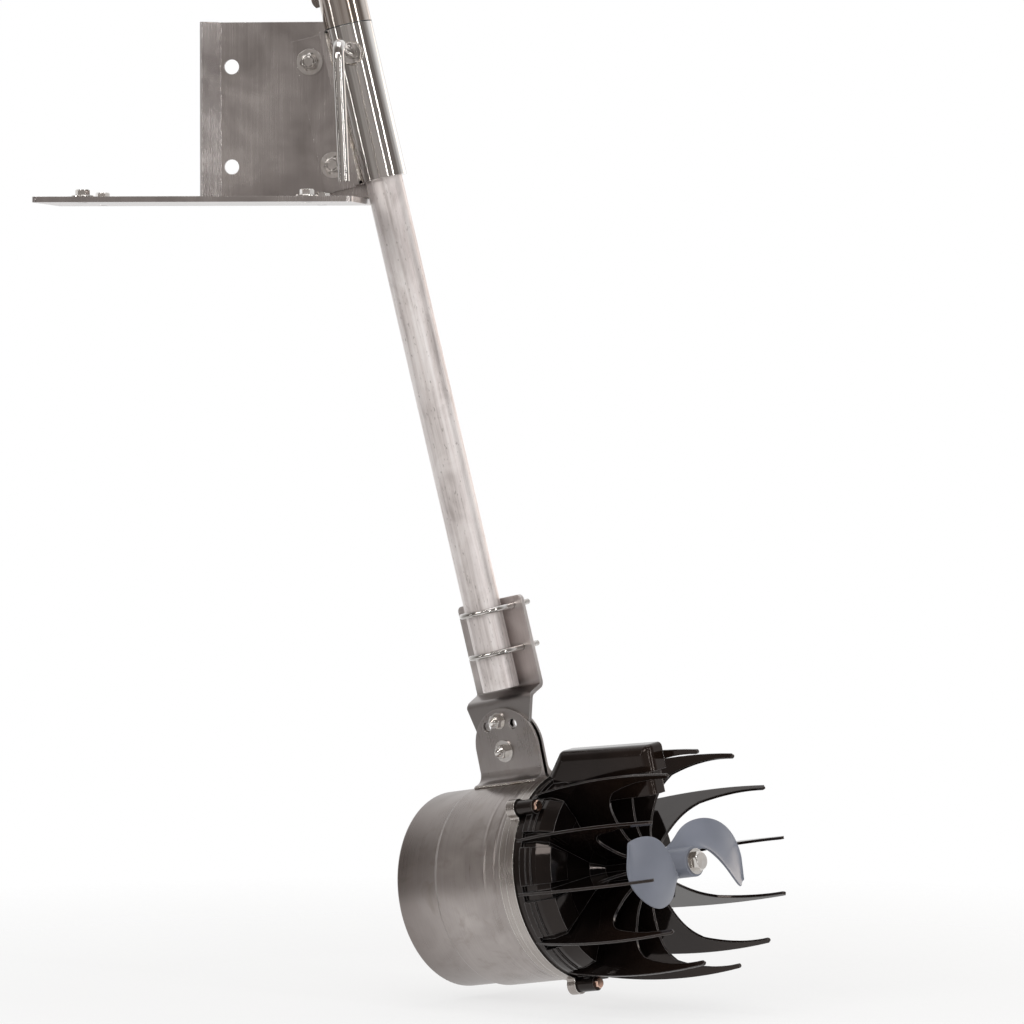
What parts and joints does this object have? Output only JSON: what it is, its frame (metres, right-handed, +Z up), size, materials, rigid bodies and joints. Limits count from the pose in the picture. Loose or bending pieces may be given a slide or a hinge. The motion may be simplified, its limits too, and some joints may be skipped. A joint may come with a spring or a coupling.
{
  "type": "dock-mounted water circulator",
  "caption": "Water circulator on a tilting pole: a deck bracket holds a sleeve, pole and clamped motor head whose propeller turns inside a finned guard.",
  "frame": {"origin": "centre of the four deck holes, on the underside of the base plate", "axes": "+X along the base plate towards the side the pole hangs from, -Y towards the lock screw's handle, +Z up"},
  "size_m": [0.8406, 0.4041, 1.2405],
  "materials": {
    "stainless_steel": "satin, lightly brushed",
    "polished_stainless": "polished",
    "stainless_fasteners": "bright",
    "pole_aluminium": "raw, faintly mottled",
    "guard_plastic": "glossy black",
    "propeller_paint": "semi-gloss slate grey",
    "seal_rubber": "matte",
    "core_steel": "dull",
    "machined_steel": "machined",
    "capacitor_case": "matte",
    "thrust_plastic": "matte"
  },
  "bodies": {
    "bracket": {"base_plate": "stainless_steel", "upright_plate": "stainless_steel"},
    "holder": {"angle_bar": "stainless_steel", "sleeve": "polished_stainless", "lock_boss": "polished_stainless", "pivot_bolt": "stainless_fasteners", "pivot_back_washer": "stainless_fasteners", "pivot_front_washer": "stainless_fasteners", "pivot_nut": "stainless_fasteners", "slot_bolt": "stainless_fasteners", "slot_back_washer": "stainless_fasteners", "slot_front_washer": "stainless_fasteners", "slot_nut": "stainless_fasteners"},
    "lock": {"lock_screw": "polished_stainless"},
    "carrier": {"thrust_washer": "thrust_plastic"},
    "pole": {"pipe": "pole_aluminium", "collar": "polished_stainless", "collar_bolt": "stainless_fasteners", "collar_nut": "stainless_fasteners", "saddle": "stainless_steel", "lower_u_bolt": "stainless_fasteners", "lower_u_back_washer": "stainless_fasteners", "lower_u_back_nut": "stainless_fasteners", "lower_u_front_washer": "stainless_fasteners", "lower_u_front_nut": "stainless_fasteners", "upper_u_bolt": "stainless_fasteners", "upper_u_back_washer": "stainless_fasteners", "upper_u_back_nut": "stainless_fasteners", "upper_u_front_washer": "stainless_fasteners", "upper_u_front_nut": "stainless_fasteners"},
    "head": {"near_ear": "stainless_steel", "far_ear": "stainless_steel", "head_pivot_bolt": "stainless_fasteners", "head_pivot_far_washer": "stainless_fasteners", "head_pivot_near_washer": "stainless_fasteners", "head_pivot_nut": "stainless_fasteners", "head_lock_bolt": "stainless_fasteners", "head_lock_far_washer": "stainless_fasteners", "head_lock_near_washer": "stainless_fasteners", "head_lock_nut": "stainless_fasteners", "motor_can": "stainless_steel", "flange": "stainless_steel", "gasket": "seal_rubber", "guard": "guard_plastic", "cord_bushing": "seal_rubber", "guard_screw_1": "stainless_fasteners", "guard_screw_2": "stainless_fasteners", "guard_screw_3": "stainless_fasteners", "stator": "core_steel", "rear_plate": "machined_steel", "front_plate": "machined_steel", "rear_bearing": "machined_steel", "front_bearing": "machined_steel", "shaft_seal": "seal_rubber", "capacitor": "capacitor_case"},
    "rotor": {"propeller": "propeller_paint", "propeller_washer": "stainless_fasteners", "propeller_bolt": "stainless_fasteners", "shaft": "machined_steel", "rotor_core": "core_steel"}
  },
  "joints": [
    {"name": "pole_tilt", "type": "hinge", "parent": "bracket", "child": "holder", "pos_m": [0.1105, 0.08414, 0.16345], "axis": [0, -1, 0], "range_deg": [0, 12]},
    {"name": "lock_turn", "type": "hinge", "parent": "holder", "child": "lock", "pos_m": [0.16602, 0.05214, 0.16995], "axis": [0, -1, 0], "range_deg": [0, 330]},
    {"name": "pole_turn", "type": "hinge", "parent": "holder", "child": "carrier", "pos_m": [0.16462, 0.05214, 0.17599], "axis": [-0.2258, 0, 0.9742], "continuous": true},
    {"name": "pole_lift", "type": "slide", "parent": "carrier", "child": "pole", "axis": [-0.2258, 0, 0.9742], "range_m": [0, 0.4]},
    {"name": "head_tilt", "type": "hinge", "parent": "pole", "child": "head", "pos_m": [0.33963, 0.05826, -0.62005], "axis": [0.5375, 0.834, 0.1246], "range_deg": [-30, 30]},
    {"name": "prop_spin", "type": "hinge", "parent": "head", "child": "rotor", "pos_m": [0.27875, 0.12212, -0.78486], "axis": [0.8208, -0.5514, 0.1494], "continuous": true}
  ]
}
